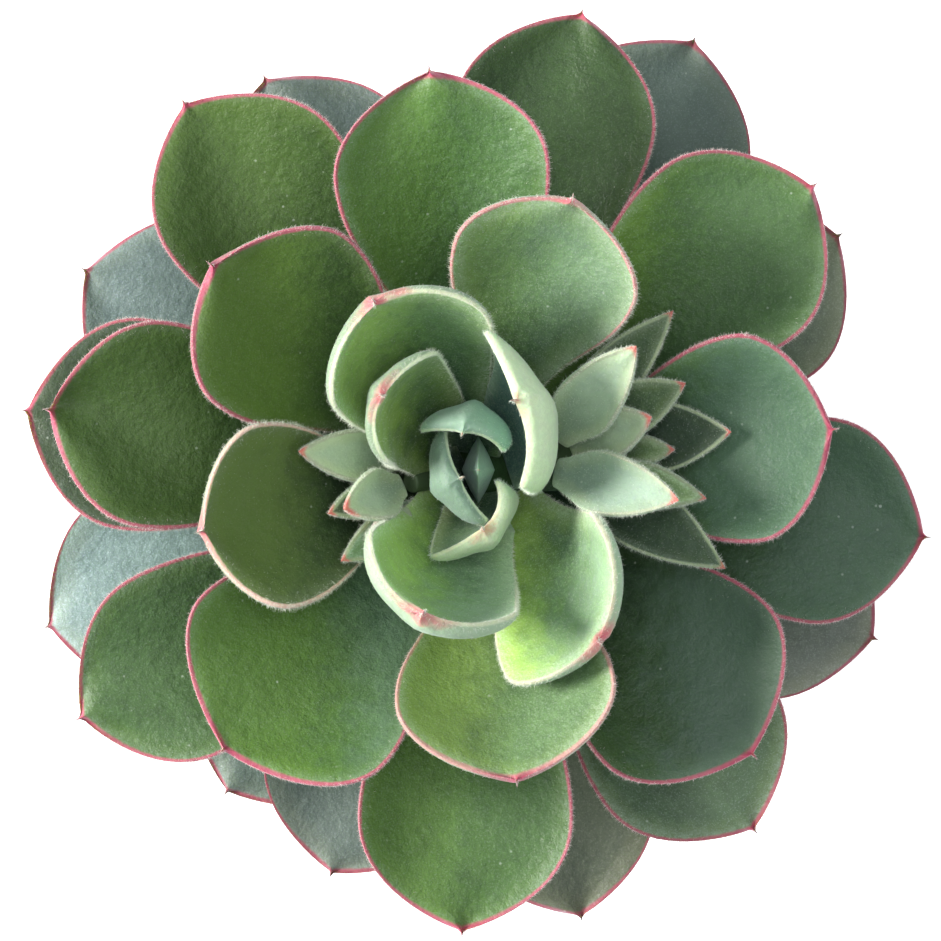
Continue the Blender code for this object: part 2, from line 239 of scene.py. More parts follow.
rosette = {
    "leafCount": 34, "firstTurn": 233.0, "turnPerLeaf": 137.0, "risePerLeaf": 0.85,
    "thickness": 3.2, "heartThickness": 2.3, "stemRadius": 6.6, "firstLeaf": 86.0,
    "baseTilt": (4, 58, 1.7), "middleTilt": (2, 80, 2.4), "tipTilt": (-6, 126, 3.2), "cup": (18, 44, 1.8),
    "youngBroader": 0.08, "sides": 60, "rings": 52,
}
broad = {"foot": 0.27, "widest": 0.72, "stalk": 2.8, "round": 2.1, "point": 0.82}
pointed = {"foot": 0.42, "widest": 0.48, "stalk": 1.6, "round": 1.6, "point": 1.0}

# Extra turn, length, width, extra tilts, extra cup, roll, sweep; oldest leaf first.
leafRows = {
    1: (-1, 54.5, 30, (0, 0, 0), 0, 0, 0),
    3: (6, 59, 31, (0, 0, 0), 0, 0, 0),
    4: (-1, 61.5, 29, (0, 0, 0), 0, 0, 0),
    5: (1, 64.5, 32, (0, 0, 0), 0, 0, 3),
    6: (2, 61, 31, (0, 0, 0), 0, 0, 0),
    7: (2, 57, 30, (0, 0, 0), 0, 0, 0),
    8: (6.5, 59, 30, (0, 0, 0), 0, 0, 0),
    9: (1, 56.5, 30, (0, 0, 0), 0, 0, 0),
    10: (7, 56.5, 30, (0, 0, 0), 0, 0, 0),
    11: (9.5, 60, 31, (0, 0, 0), 0, 0, 0),
    12: (7.5, 59.5, 30, (0, 0, 0), 0, 0, 0),
    13: (2, 61.5, 29.5, (0, 0, 0), 0, 0, -4),
    14: (1.5, 61.5, 28.5, (0, 0, 0), 0, 0, -8),
    15: (0.5, 59, 30, (0, 0, 0), 0, 0, 0),
    16: (2.5, 61.5, 30, (0, 0, 0), 0, 0, -4),
    17: (3, 60.5, 31, (0, 0, 0), 0, 0, 0),
    18: (1, 57.5, 31, (0, 0, 0), 0, 0, -6),
    19: (-7, 57, 30, (0, 0, 0), 0, 0, 0),
    20: (-2, 52, 33, (0, 0, 0), 0, 0, 0),
    21: (4, 53.5, 31, (0, 0, 0), 0, 0, 0),
    22: (1, 51, 36, (0, 0, 0), 0, 0, -7),
    23: (0, 47, 30.5, (-5, -7, -6), 0, 0, -1),
    24: (0, 47, 31, (0, 0, 0), 0, 0, -3),
    25: (-4, 45, 32, (0, 0, 0), 0, 0, 0),
    26: (15, 40.5, 28, (-4, -4, -6), 0, 0, -4),
    27: (-1, 40.5, 28, (-6, -10, -10), 4, 0, -3),
    28: (-25, 34.5, 27, (-2, -6, 12), -4, 20, 0),
    29: (13, 34.5, 28, (-2, -4, 2), 10, 0, 0),
    30: (11, 37.5, 25.5, (-2, -4, 28), 4, -4, 0),
    31: (31, 27, 23, (4, 10, 40), -16, 0, 0),
    32: (-9, 27.5, 18, (-12, -12, 4), -6, 14, 0),
    33: (-26, 17, 15.5, (-12, -4, 14), -6, 30, 0),
    34: (35, 19, 13, (-14, 0, 22), -10, 0, 0),
    35: (-6, 15.5, 14.5, (-12, -2, 12), -26, 0, 0),
}

# Young leaves that grow askew: turn about the foot, tip drawn sideways (mm), one half cupped more.
askew = {
    28: (0, -1.0, 0.3), 30: (-11, 0, 0), 31: (-29, 4.4, -0.7), 32: (-16, 1.0, 0.3), 33: (4, 0, 0.6),
    34: (-26, 1.8, -0.3),
}

# Shoots: turn and height where the stem starts, its heading, lift and length, then a row a leaf:
# foot (out, left, up), heading, length, width, tilts, cup, roll, sweep.
shootForm = {
    "stemRadius": 1.7, "stemTaper": 0.9, "stemRound": 0.3, "stemSides": 24, "stemColour": (0.07, 0.11, 0.05),
    "leafThickness": 1.7, "sides": 40, "rings": 36,
}
shoots = {
    "right_shoot": {
        "turn": 8, "height": 22.6, "heading": 15, "lift": 32, "length": 10,
        "leaves": [
            ((-3.2, 2.0, 3.6), 50, 21.5, 9.5, (44, 42, 36), 62, 0, 0),
            ((-2.5, 2.8, -2.4), 47, 24.5, 8, (24, 21, 14), 45, 0, 0),
            ((1.2, 2.3, 1.0), 25, 17, 8, (34, 30, 22), 45, 0, 0),
            ((-1.6, 0.6, 3.2), 20, 15, 8.5, (42, 40, 36), 60, 0, 0),
            ((2.4, 0.3, -1.6), 4, 20.5, 10.5, (30, 28, 24), 40, 0, 0),
            ((2.8, -1.2, 1.0), 1, 11.5, 4.5, (35, 33, 30), 40, 0, 0),
            ((-4.6, -2.2, 4.9), -13, 20.5, 9.5, (38, 34, 30), 58, 0, 0),
            ((0.6, -4.0, 2.9), -12, 17.5, 6.5, (34, 28, 20), 40, 0, 0),
            ((-1.8, -2.9, -2.1), -33, 27, 10, (34, 27, 12), 35, 0, 0),
        ],
    },
    "left_shoot": {
        "turn": 190, "height": 25, "heading": 190, "lift": 42, "length": 6,
        "leaves": [
            ((0.6, -3.4, 0.0), 176, 17.5, 7.5, (40, 38, 36), 45, 0, 0),
            ((0.8, 0.2, 4.2), 203, 12, 7.5, (48, 45, 40), 45, 0, 0),
            ((1.8, 0.4, 1.6), 201, 12.5, 5, (40, 37, 34), 45, 0, 0),
            ((0.6, 4.0, 2.9), 210, 7.5, 3.6, (38, 36, 30), 40, 0, 0),
            ((-2.4, 3.6, -2.2), 212, 18, 6.5, (39, 37, 34), 45, 0, 0),
        ],
    },
}

collection = bpy.data.collections.new("succulentLooks")
bpy.context.scene.collection.children.link(collection)


def addPiece(name, mesh, material, nodes, smooth=True):
    if smooth:
        mesh.shade_smooth()
    mesh.materials.clear()
    mesh.materials.append(material)
    piece = bpy.data.objects.new(name, mesh)
    collection.objects.link(piece)
    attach(piece, "root")
    if nodes:
        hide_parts(*nodes)
    return piece


def byAge(age, law):
    start, gain, power = law
    return start + gain * age ** power


def stemTop():
    return rosette["firstLeaf"] + (rosette["leafCount"] + 0.6) * rosette["risePerLeaf"]


def stemRadius(height):
    part = np.clip((height - rosette["firstLeaf"]) / (stemTop() - rosette["firstLeaf"]), 0, 1)
    return rosette["stemRadius"] * (1 - part ** 6) ** 0.8


# Colours are linear. deep: heart of the face; fresh: outer part, lighter partly by painted light; pale: hairy
# bloom near the rim;
# line: the rim's own colour and its width; bloomWidth: how far the pale bloom reaches in; foot: how strongly
# painted shade darkens the leaf's foot.
finishes = {
    "old": {
        "deep": (0.080, 0.125, 0.085), "fresh": (0.13, 0.17, 0.12), "pale": (0.36, 0.42, 0.38),
        "under": (0.16, 0.21, 0.15), "line": (0.34, 0.075, 0.11), "lineWidth": 0.36, "bloomWidth": 2.6,
        "bloom": 0.22, "haze": 0.30, "sheen": 0.22, "roughness": 0.5, "thin": 0.10,
        "flare": 1.0, "tip": (0.28, 0.07, 0.09), "tipSize": 1.6, "foot": 0.5, "inner": 0.35,
    },
    "green": {
        "deep": (0.028, 0.066, 0.012), "fresh": (0.072, 0.150, 0.030), "pale": (0.30, 0.40, 0.27),
        "under": (0.17, 0.25, 0.14), "line": (0.43, 0.105, 0.145), "lineWidth": 0.42, "bloomWidth": 2.2,
        "bloom": 0.34, "haze": 0.22, "sheen": 0.16, "roughness": 0.46, "thin": 0.16,
        "flare": 0.6, "tip": (0.44, 0.06, 0.115), "tipSize": 2.3, "foot": 0.65, "inner": 0.45,
    },
    "young": {
        "deep": (0.036, 0.095, 0.022), "fresh": (0.155, 0.29, 0.090), "pale": (0.52, 0.64, 0.44),
        "under": (0.30, 0.39, 0.26), "line": (0.58, 0.62, 0.42), "lineWidth": 0.3, "bloomWidth": 3.0,
        "bloom": 0.45, "haze": 0.26, "sheen": 0.2, "roughness": 0.5, "thin": 0.25,
        "flare": 0.2, "tip": (0.66, 0.15, 0.18), "tipSize": 1.8, "foot": 0.65, "inner": 0.5,
    },
    "heart": {
        "deep": (0.030, 0.085, 0.055), "fresh": (0.14, 0.27, 0.17), "pale": (0.42, 0.55, 0.44),
        "under": (0.24, 0.35, 0.26), "line": (0.46, 0.56, 0.37), "lineWidth": 0.26, "bloomWidth": 1.2,
        "bloom": 0.4, "haze": 0.25, "sheen": 0.2, "roughness": 0.52, "thin": 0.25,
        "flare": 0.0, "tip": (0.74, 0.24, 0.17), "tipSize": 0.7, "foot": 0.4, "inner": 0.4,
    },
    # outerHeart: its under colour is the pale back, lightened by painted light shining through the thin leaf
    "outerHeart": {
        "deep": (0.130, 0.240, 0.185), "fresh": (0.27, 0.42, 0.29), "pale": (0.54, 0.64, 0.49),
        "under": (0.60, 0.70, 0.46), "line": (0.74, 0.80, 0.52), "lineWidth": 0.3, "bloomWidth": 1.8,
        "bloom": 0.4, "haze": 0.3, "sheen": 0.2, "roughness": 0.52, "thin": 0.3,
        "flare": 0.0, "tip": (0.72, 0.20, 0.16), "tipSize": 1.2, "foot": 0.5, "inner": 0.4,
    },
    "paleShoot": {
        "deep": (0.40, 0.51, 0.34), "fresh": (0.33, 0.42, 0.28), "pale": (0.46, 0.54, 0.38),
        "under": (0.40, 0.48, 0.34), "line": (0.44, 0.47, 0.33), "lineWidth": 0.3, "bloomWidth": 1.4,
        "bloom": 0.5, "haze": 0.35, "sheen": 0.25, "roughness": 0.58, "thin": 0.2,
        "flare": 0.8, "tip": (0.70, 0.19, 0.16), "tipSize": 1.4, "foot": 0.5, "inner": 0.3,
    },
    "shoot": {
        "deep": (0.060, 0.105, 0.050), "fresh": (0.13, 0.20, 0.09), "pale": (0.40, 0.48, 0.34),
        "under": (0.30, 0.38, 0.26), "line": (0.36, 0.42, 0.26), "lineWidth": 0.3, "bloomWidth": 1.4,
        "bloom": 0.5, "haze": 0.3, "sheen": 0.3, "roughness": 0.58, "thin": 0.2,
        "flare": 0.6, "tip": (0.70, 0.19, 0.16), "tipSize": 1.1, "foot": 0.3, "inner": 0.3,
    },
}


leafGrain = {  # patterns per metre, then depths of relief in metres
    "cloud": 75, "mottle": 330, "grain": 1100, "velvet": 4200, "dots": 620, "motes": 210,
    "mottleDepth": 0.0007, "grainDepth": 0.00022, "velvetDepth": 0.00006,
    # the dark teal below is painted shade for the feet of the leaves; dust is the pale colour of specks
    "streaksAcross": 26, "streaksAlong": 2.2, "paintedFootShade": (0.018, 0.050, 0.036), "dust": (0.62, 0.68, 0.58),
}


# Velvety leaf: deep heart, fresher outside partly by painted light, painted shade at the foot, painted light
# through the left side and painted sheen on the right side, pale hairy bloom, thin coloured rim and tip.
def leafMaterial(name, finish, toneAndPaintedLight=1.0, blue=0.0, grey=0.0, rimColour=None, paintedLightThrough=0.0, sheen=0.0):
    g = Graph(name)
    f = finish
    lineColour = rimColour or f["line"]

    # each leaf's brightness factor scales its colours: its own tone together with painted light and shade,
    # lighter or darker by how lit it stands
    def tone(colour, amount=1.0):
        dull = sum(colour) / 3
        r, gr, b = ((c + (dull - c) * grey) * toneAndPaintedLight * amount for c in colour)
        return (r * (1 - 0.35 * blue), gr, b * (1 + 0.9 * blue))

    edge = g.attribute("edge")
    upper = g.attribute("upper")
    along = g.attribute("along")
    across = g.attribute("across")
    tipAway = g.attribute("tipAway")
    east = g.attribute("east")
    big = g.noise(leafGrain["cloud"], 3, 0.55)
    mottle = g.noise(leafGrain["mottle"], 3, 0.6)
    grain = g.noise(leafGrain["grain"], 3, 0.65)
    fine = g.noise(leafGrain["velvet"], 2, 0.6)
    fresh, yellow = tone(f["fresh"]), tone(f["fresh"], 1.3)
    yellow = (yellow[0] * 1.25, yellow[1] * 1.08, yellow[2] * 0.75)
    # deep heart to lighter outer part: the leaf's own tone, with the outer part lighter partly as painted
    # light
    outward = g.ease(along + (big - 0.5) * 0.5, 0.2, 1.05)
    face = g.mix(outward, tone(f["deep"]), fresh)
    spots = {0: across * leafGrain["streaksAcross"], 1: along * leafGrain["streaksAlong"], 2: 0.4}
    streak = g.noise(1.0, 3, 0.6, g.add("ShaderNodeCombineXYZ", {}, spots))
    face = g.mix(g.ease(streak, 0.42, 0.75) * 0.4, face, fresh)
    face = g.mix(g.ease(mottle, 0.45, 0.7) * 0.3, face, tone(f["deep"], 0.8))
    face = g.mix(g.ease(grain, 0.45, 0.72) * 0.45, face, tone(f["fresh"], 1.3))
    # painted shade: the foot of the leaf, where the leaves around it shade it, darkened to dark teal
    footShadeAmount = g.ease(along + (mottle - 0.5) * 0.4, 0.6, 0.2)
    face = g.mix(footShadeAmount * f["foot"], face, tone(leafGrain["paintedFootShade"]))
    inside = g.ease(edge + (mottle - 0.5) * 2.4, f["bloomWidth"] * 1.7, 0.3)
    face = g.mix(inside * f["inner"], face, yellow)
    # painted light: the left side of the face lightened to a bright yellow-green, as if light shone through
    # the leaf
    if paintedLightThrough:
        paintedLitColour = (yellow[0] * 1.6, yellow[1] * 1.6, yellow[2])
        face = g.mix(g.ease(east + (mottle - 0.5) * 8, 3, -8) * paintedLightThrough, face, paintedLitColour)
    # painted sheen: the right side of the face mixed toward a pale bluish green, as if it reflected the light
    # from the left
    if sheen:
        paintedSheenColour = tone(f["pale"], 0.6)
        paintedSheenColour = (paintedSheenColour[0] * 0.85, paintedSheenColour[1], paintedSheenColour[2] * 0.95)
        face = g.mix(g.ease(east + (mottle + big - 1) * 14, -3, 10) * sheen, face, paintedSheenColour)
    face = g.mix(g.ease(fine, 0.5, 0.72) * f["haze"], face, tone(f["pale"]))
    edgeWobble = edge + (grain - 0.5) * 0.3
    bloom = g.ease(edge + (big - 0.5) * 2.0, f["bloomWidth"], 0.1) * g.ease(fine + grain, 0.6, 1.2)
    face = g.mix(bloom * f["bloom"], face, tone(f["pale"]))
    back = tuple(c * (0.5 + 0.5 * toneAndPaintedLight) for c in f["under"])
    under = g.mix(g.ease(grain, 0.35, 0.7) * 0.4, back, tuple(c * 1.25 for c in back))
    body = g.mix(g.ease(upper, -0.12, 0.02), under, face)
    widened = edgeWobble / (g.ease(tipAway, 9, 1) * f["flare"] + 1)
    line = g.ease(widened, f["lineWidth"] * 1.3, f["lineWidth"] * 0.5) * g.ease(upper, -0.24, -0.08)
    line = line * g.ease(along, 0.3, 0.55)
    rim = g.mix(g.ease(grain, 0.35, 0.75) * 0.5, lineColour, tuple(c * 1.25 for c in lineColour))
    body = g.mix(line, body, rim)
    nearTip = g.ease(tipAway + edge * 1.3 + (mottle - 0.5) * 2, f["tipSize"] * 1.6, f["tipSize"] * 0.5)
    body = g.mix(nearTip, body, f["tip"])
    # fine hairs and dust seen as pale points
    dots, motes = leafGrain["dots"], leafGrain["motes"]
    dot = g.ease(g.cells(dots), 0.16, 0.05) * g.ease(g.cells(dots, out=1), 0.72, 0.86)
    mote = g.ease(g.cells(motes), 0.06, 0.03) * g.ease(g.cells(motes, out=1), 0.8, 0.9)
    body = g.mix(dot * 0.35 + mote * 0.5, body, leafGrain["dust"])
    relief = g.bump(mottle, leafGrain["mottleDepth"], 0.5)
    relief = g.bump(grain, leafGrain["grainDepth"], 0.7, relief)
    relief = g.bump(fine, leafGrain["velvetDepth"], 0.8, relief)
    rough = g.ease(grain, 0.2, 0.9) * 0.16 + (f["roughness"] - 0.06)
    return g.finish(Base_Color=body, Roughness=rough, Normal=relief, Specular_IOR_Level=0.32,
                    Subsurface_Weight=f["thin"], Subsurface_Radius=(0.45, 1.0, 0.2), Subsurface_Scale=0.0028,
                    Sheen_Weight=f["sheen"], Sheen_Roughness=0.45, Sheen_Tint=(0.80, 0.92, 1.0))


# A sphere drawn out into the leaf, with the marks that its finish reads.
def leafMesh(name, form, foot, heading, sides, rings):
    bm = bmesh.new()
    bmesh.ops.create_uvsphere(bm, u_segments=sides, v_segments=rings, radius=1)
    bm.verts.ensure_lookup_table()
    co = np.array([v.co for v in bm.verts])
    part = (1 - co[:, 2]) / 2
    around = np.arctan2(co[:, 1], co[:, 0])
    points = form.skin(part, around)
    turn = math.radians(heading)
    turned = np.stack([points[:, 0] * math.cos(turn) - points[:, 1] * math.sin(turn),
                       points[:, 0] * math.sin(turn) + points[:, 1] * math.cos(turn), points[:, 2]], -1)
    placed = (turned + np.array(foot)) * mm
    for vert, place in zip(bm.verts, placed):
        vert.co = place
    bmesh.ops.recalc_face_normals(bm, faces=bm.faces)
    if bm.calc_volume(signed=True) < 0:  # a thin curled leaf can come out inside out
        bmesh.ops.reverse_faces(bm, faces=bm.faces)
    mesh = bpy.data.meshes.new(name)
    bm.to_mesh(mesh)
    bm.free()
    marks = {"edge": form.edgeDistance(part, around), "upper": np.sin(around), "along": part,
             "across": np.cos(around) * form.halfWidth(part) / form.half,
             "east": (placed[:, 0] - placed[:, 0].mean()) / mm,
             "tipAway": (1 - part) * form.length}
    for mark, values in marks.items():
        layer = mesh.attributes.new(mark, "FLOAT", "POINT")
        layer.data.foreach_set("value", values.astype(np.float32))
    return mesh


hairBeds = {}
# Hairs grow from marginStart of the leaf's length on; wild is how far they stray, ahead how far they lean.
hairForm = {
    "marginStart": 0.12, "marginSpread": 0.22, "marginAhead": 0.25, "marginWild": 0.45,
    "faceStart": 0.06, "faceAhead": 0.5, "faceWild": 0.3, "batch": 40,  # small batches keep operators quick
}


# Closed three-sided hairs, each from (root, direction, length, thickness) in metres.
def hairMesh(spots):
    bm = bmesh.new()
    for root, direction, length, thick in spots:
        turn = Vector(direction).to_track_quat("Z", "Y").to_matrix().to_4x4()
        place = Matrix.Translation(Vector(root) + Vector(direction) * length * 0.42) @ turn
        bmesh.ops.create_cone(bm, cap_ends=True, segments=3, radius1=thick, radius2=0, depth=length,
                              matrix=place)
    mesh = bpy.data.meshes.new("hairs")
    bm.to_mesh(mesh)
    bm.free()
    return mesh


def growMarginHairs(bed, form, foot, heading, perMm, length, thick, seed):
    rng = np.random.default_rng(seed)
    count = int(perMm * 2 * form.length)
    part = rng.uniform(hairForm["marginStart"], 0.995, count)
    near = rng.normal(0, hairForm["marginSpread"], count)
    around = np.where(rng.random(count) < 0.5, near, math.pi + near)
    roots = form.skin(part, around)
    inner = form.skin(part, around + np.where(np.cos(around) > 0, 0.9, -0.9))
    ahead = form.skin(np.minimum(part + 0.01, 1), around) - form.skin(part - 0.01, around)
    out = roots - inner
    out /= np.linalg.norm(out, axis=1)[:, None] + 1e-9
    ahead /= np.linalg.norm(ahead, axis=1)[:, None] + 1e-9
    way = out + hairForm["marginAhead"] * ahead + rng.normal(0, hairForm["marginWild"], (count, 3))
    way /= np.linalg.norm(way, axis=1)[:, None]
    plantHairs(bed, roots, way, foot, heading, length * rng.uniform(0.55, 1.15, count), thick)


def growFaceHairs(bed, form, foot, heading, perSquareMm, length, thick, seed):
    rng = np.random.default_rng(seed)
    count = int(perSquareMm * form.length * form.half * 2 * 1.4)
    part = rng.uniform(hairForm["faceStart"], 0.98, count)
    around = rng.uniform(0, 2 * math.pi, count)
    roots = form.skin(part, around)
    ahead = form.skin(np.minimum(part + 0.01, 1), around) - form.skin(part - 0.01, around)
    beside = form.skin(part, around + 0.05) - form.skin(part, around - 0.05)
    out = np.cross(beside, ahead)
    out /= np.linalg.norm(out, axis=1)[:, None] + 1e-9
    ahead /= np.linalg.norm(ahead, axis=1)[:, None] + 1e-9
    way = out + hairForm["faceAhead"] * ahead + rng.normal(0, hairForm["faceWild"], (count, 3))
    way /= np.linalg.norm(way, axis=1)[:, None]
    plantHairs(bed, roots, way, foot, heading, length * rng.uniform(0.6, 1.2, count), thick)


def plantHairs(bed, roots, ways, foot, heading, lengths, thick):
    turn = Matrix.Rotation(math.radians(heading), 3, "Z")
    spots = []
    for root, way, length in zip(roots, ways, lengths):
        spots.append(((turn @ Vector(root) + Vector(foot)) * mm, turn @ Vector(way), length * mm, thick * mm))
    batch = hairForm["batch"]
    hairBeds.setdefault(bed, []).extend(hairMesh(spots[i:i + batch]) for i in range(0, len(spots), batch))


# Per leaf: brightness, the leaf's own tone with painted light and shade; bluish tint, greyness, rim colour,
# painted light through its left, painted sheen on its right.
leafLooks = {
    1: (0.9, 0.15, 0.1),
    3: (1.05, 0.25, 0.2),
    4: (0.6, -0.15, 0.25),
    5: (0.75, 0.1, 0, None, 0, 0.2),
    6: (1.95, 0.25, 0.25),
    7: (1.3, -0.05, 0.6),
    8: (0.6, 0.2, 0.1, None, 0, 0.5),
    9: (1.0, 0.1, 0.3),
    10: (1.2, -0.1, 0.3),
    11: (0.55, 0.1, 0.45),
    12: (1.5, 0.1, 0.5),
    13: (0.55, 0.1, 0.05),
    14: (0.95, 0.1, 0.15, None, 0, 0.25),
    15: (0.72, 0.2, 0.05, None, 0, 0.45),
    16: (0.66, -0.1, 0, None, 0.15, 0),
    17: (0.9, 0.05, 0, None, 0.2, 0.1),
    18: (1.0, 0.05, 0, None, 0.35, 0.15),
    19: (0.56, 0, 0, None, 0.2, 0),
    20: (0.6, 0.1, 0, None, 0, 0.7),
    21: (1.05, 0.1, 0, None, 0.2, 0.1),
    22: (1.0, 0.05, 0, None, 0.25, 0.45),
    23: (0.95, 0.2, 0.05, None, 0, 0.45),
    24: (0.78, -0.1, 0, None, 0.35, 0),
    25: (1.75, 0, 0.3, (0.56, 0.30, 0.26), 0.45, 0.1),
    26: (0.85, 0.05, 0.1, (0.56, 0.24, 0.24), 0.15, 0.4),
    27: (0.36, -0.1, 0, (0.62, 0.40, 0.33), 0.45, 0),
    28: (1.4, 0, 0.15, (0.60, 0.58, 0.43), 0.5, 0.6),
    29: (0.95, 0, 0, None, 0.4, 0.1),
    30: (1.4, 0, 0, None, 0.5, 0.7),
    31: (1.2, 0.15, 0),
    32: (0.8, -0.15, 0, (0.62, 0.70, 0.46), 0.9, 0),
    33: (0.9, -0.2, 0, None, 0.1, 0),
    34: (1.2, -0.15, 0.15),
    35: (0.6, -0.15, 0.1),
}


marginHairs = {  # hairs per mm of leaf length, hair length, hair radius
    "old": (4.0, 0.35, 0.02), "green": (20.0, 0.55, 0.02), "young": (26.0, 0.7, 0.022),
    "outerHeart": (26.0, 0.65, 0.022), "heart": (24.0, 0.45, 0.02), "shoot": (13, 0.62, 0.024),
}
faceHairs = {  # hairs per square mm, hair length, hair radius
    "young": (1.3, 0.3, 0.016), "heart": (2.2, 0.3, 0.016), "shoot": (2.4, 0.42, 0.019),
}
lastLeaf = {"old": 10, "green": 25, "young": 30, "outerHeart": 33}  # last leaf of each group


def leafGroup(number):
    if number == 32:  # its face is as green as the young leaves'
        return "young"
    for group, last in lastLeaf.items():
        if number <= last:
            return group
    return "heart"


def leafPlace(number, row):
    extra, length, width, lean, moreCup, roll, sweep = row
    age = (number - 1) / rosette["leafCount"]
    laws = (rosette["baseTilt"], rosette["middleTilt"], rosette["tipTilt"])
    tilt = [byAge(age, law) + more for law, more in zip(laws, lean)]
    cup = byAge(age, rosette["cup"]) + moreCup
    heading = rosette["firstTurn"] + rosette["turnPerLeaf"] * (number - 1) + extra
    height = rosette["firstLeaf"] + rosette["risePerLeaf"] * (number - 1)
    reach = stemRadius(height) + gap / mm
    foot = (reach * math.cos(math.radians(heading)), reach * math.sin(math.radians(heading)), height)
    inner = float(ease(6 * age - 5))
    thickness = rosette["thickness"] + (rosette["heartThickness"] - rosette["thickness"]) * inner
    young = float(ease((number - 26) / 5))
    outline = dict(broad, widest=broad["widest"] + rosette["youngBroader"] * age ** 3,
                   foot=broad["foot"] + 0.33 * young, stalk=broad["stalk"] - 1.2 * young)
    keel = 0.35 * float(ease((number - 27) / 6))
    turned, draw, lop = askew.get(number, (0, 0, 0))
    form = LeafForm(length, width, tilt, cup, roll, sweep, thickness, outline, 1, number, keel, draw, lop)
    return form, foot, heading + turned


def buildRosette():
    for number, row in leafRows.items():
        name = f"leaf_{number:02d}"
        group = leafGroup(number)
        form, foot, heading = leafPlace(number, row)
        material = leafMaterial(name + "Skin", finishes[group], *leafLooks.get(number, ()))
        mesh = leafMesh(name + "Blade", form, foot, heading, rosette["sides"], rosette["rings"])
        addPiece(name + "_blade", mesh, material, [name])
        bed = "heart" if group == "outerHeart" else group
        growMarginHairs(bed, form, foot, heading, *marginHairs[group], number)
        if number > lastLeaf["green"]:
            cover = faceHairs["young" if number <= lastLeaf["young"] else "heart"]
            growFaceHairs(bed, form, foot, heading, *cover, 200 + number)


# Finish, brightness (own tone with painted light and shade) and bluish tint of each shoot leaf.
shootLooks = {
    "right_shoot": [
        ("paleShoot", 1.1, 0.05), ("shoot", 0.75, 0.05), ("shoot", 0.95, 0.0), ("paleShoot", 1.1, 0.0),
        ("shoot", 0.42, 0.2), ("shoot", 1.4, 0.0), ("paleShoot", 0.95, 0.15), ("shoot", 1.9, 0.0),
        ("shoot", 0.55, 0.15),
    ],
    "left_shoot": [
        ("paleShoot", 1.2, 0.0), ("paleShoot", 1.1, 0.0), ("shoot", 0.5, 0.0), ("paleShoot", 1.1, 0.0),
        ("shoot", 1.5, 0.2),
    ],
}


def buildShoots():
    for name, shoot in shoots.items():
        turn, heading, lift = (math.radians(shoot[k]) for k in ("turn", "heading", "lift"))
        startHeight = rosette["firstLeaf"] + shoot["height"]
        upperEdge = startHeight + shootForm["stemRadius"] * math.cos(lift)
        reach = stemRadius(upperEdge) + gap / mm + shootForm["stemRadius"] * math.sin(lift)
        out = np.array([math.cos(heading), math.sin(heading), 0])
        left = np.array([-math.sin(heading), math.cos(heading), 0])
        up = np.array([0, 0, 1])
        start = np.array([reach * math.cos(turn), reach * math.sin(turn), startHeight])
        end = start + (out * math.cos(lift) + up * math.sin(lift)) * shoot["length"]
        for index, (foot, turned, length, width, tilt, cup, roll, sweep) in enumerate(shoot["leaves"]):
            leaf = f"{name}_leaf_{index + 1}"
            place = end + out * foot[0] + left * foot[1] + up * foot[2]
            thick = shootForm["leafThickness"]
            form = LeafForm(length, width, tilt, cup, roll, sweep, thick, pointed, 0, index)
            finish, toneAndPaintedLight, blue = shootLooks[name][index]
            material = leafMaterial(leaf + "Skin", finishes[finish], toneAndPaintedLight, blue)
            mesh = leafMesh(leaf + "Blade", form, place, turned, shootForm["sides"], shootForm["rings"])
            addPiece(leaf + "_blade", mesh, material, [leaf])
            growMarginHairs("shoot", form, place, turned, *marginHairs["shoot"], 50 + index)
            growFaceHairs("shoot", form, place, turned, *faceHairs["shoot"], 80 + index)
        stemMaterial = Graph(name + "StemSkin").finish(Base_Color=shootForm["stemColour"], Roughness=0.6)
        buildShootStem(name, start, end, stemMaterial)


def buildShootStem(name, start, end, material):
    bm = bmesh.new()
    axis = Vector(end - start)
    turn = axis.to_track_quat("Z", "Y").to_matrix().to_4x4()
    middle = Matrix.Translation(Vector((start + end) / 2) * mm) @ turn
    radius = shootForm["stemRadius"] * mm
    bmesh.ops.create_cone(bm, cap_ends=True, segments=shootForm["stemSides"], radius1=radius,
                          radius2=radius * shootForm["stemTaper"], depth=axis.length * mm, matrix=middle)
    caps = [e for e in bm.edges if any(len(f.verts) > 4 for f in e.link_faces)]
    bmesh.ops.bevel(bm, geom=caps, offset=shootForm["stemRound"] * mm, segments=3, affect="EDGES",
                    profile=0.5, material=-1)
    mesh = bpy.data.meshes.new(name + "Stem")
    bm.to_mesh(mesh)
    bm.free()
    addPiece(name + "_stem_bark", mesh, material, [name + "_stem"])


budForm = {
    "length": 12.0, "width": 12.6, "thickness": 6.2, "point": 0.62, "ridge": 0.8, "sides": 40, "rings": 32,
}


